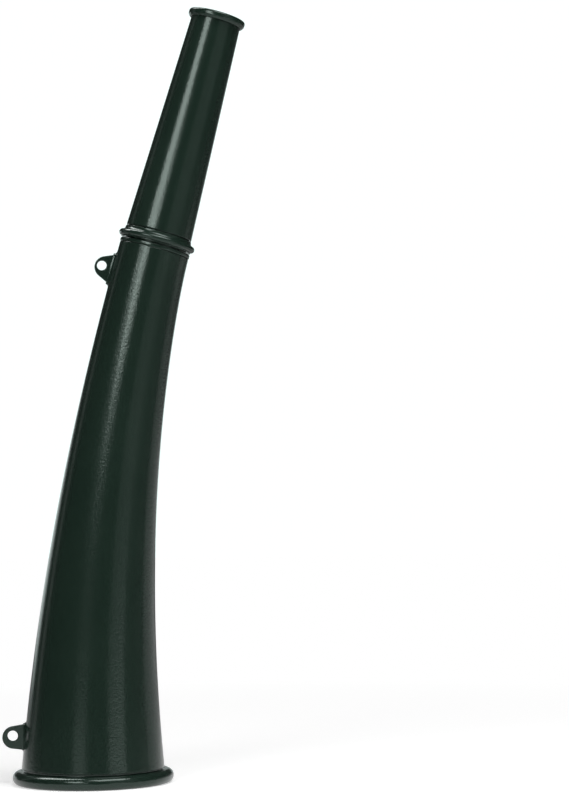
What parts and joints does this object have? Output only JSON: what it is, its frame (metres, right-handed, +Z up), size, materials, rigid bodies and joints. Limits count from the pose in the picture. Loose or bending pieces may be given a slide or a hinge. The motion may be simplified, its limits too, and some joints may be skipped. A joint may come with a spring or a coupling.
{
  "type": "signal horn",
  "caption": "Short curved hand horn: a bowed flaring metal tube with a beaded bell and strap lugs, and a straight conical mouthpiece that plugs in and carries a reed.",
  "frame": {"origin": "on the floor, under the middle of the whole horn's box, with the horn standing on its bell", "axes": "+Z up from the bell mouth towards the mouthpiece, +X towards the side that the tube bows to, with the strap lugs on the -X side, and +Y across the plane of the bow"},
  "size_m": [0.0804, 0.0512, 0.2475],
  "materials": {
    "green_enamel": "very dark green gloss enamel with a faint orange peel",
    "bare_brass": "turned and left bare",
    "reed_brass": "hard rolled strip, brushed along its length",
    "cork": "sanded cork"
  },
  "bodies": {
    "horn": {"horn_body": "green_enamel", "bell_rim_ring": "green_enamel", "socket_sleeve": "green_enamel", "upper_strap_lug": "green_enamel", "lower_strap_lug": "green_enamel"},
    "mouthpiece": {"mouthpiece_cone": "green_enamel", "mouth_rim_ring": "green_enamel", "joint_ring": "green_enamel", "spigot_sleeve": "bare_brass"},
    "reed_unit": {"reed_plug": "bare_brass", "reed_plug_cork": "cork", "reed_shallot": "bare_brass", "reed_clamp_bar": "bare_brass", "reed_clamp_screw_left": "bare_brass", "reed_clamp_screw_right": "bare_brass"},
    "reed_tongue": {"reed_tongue": "reed_brass"}
  },
  "joints": [
    {"name": "mouthpiece_pull", "type": "slide", "parent": "horn", "child": "mouthpiece", "axis": [0.2723, 0, 0.9622], "range_m": [0, 0.018]},
    {"name": "reed_pull", "type": "slide", "parent": "mouthpiece", "child": "reed_unit", "axis": [-0.2723, 0, -0.9622], "range_m": [0, 0.014]},
    {"name": "reed_flex", "type": "hinge", "parent": "reed_unit", "child": "reed_tongue", "pos_m": [0.01268, 0, 0.17081], "axis": [0, 1, 0], "range_deg": [-1.4, 1], "stiffness_Nm_per_rad": 0.5}
  ]
}
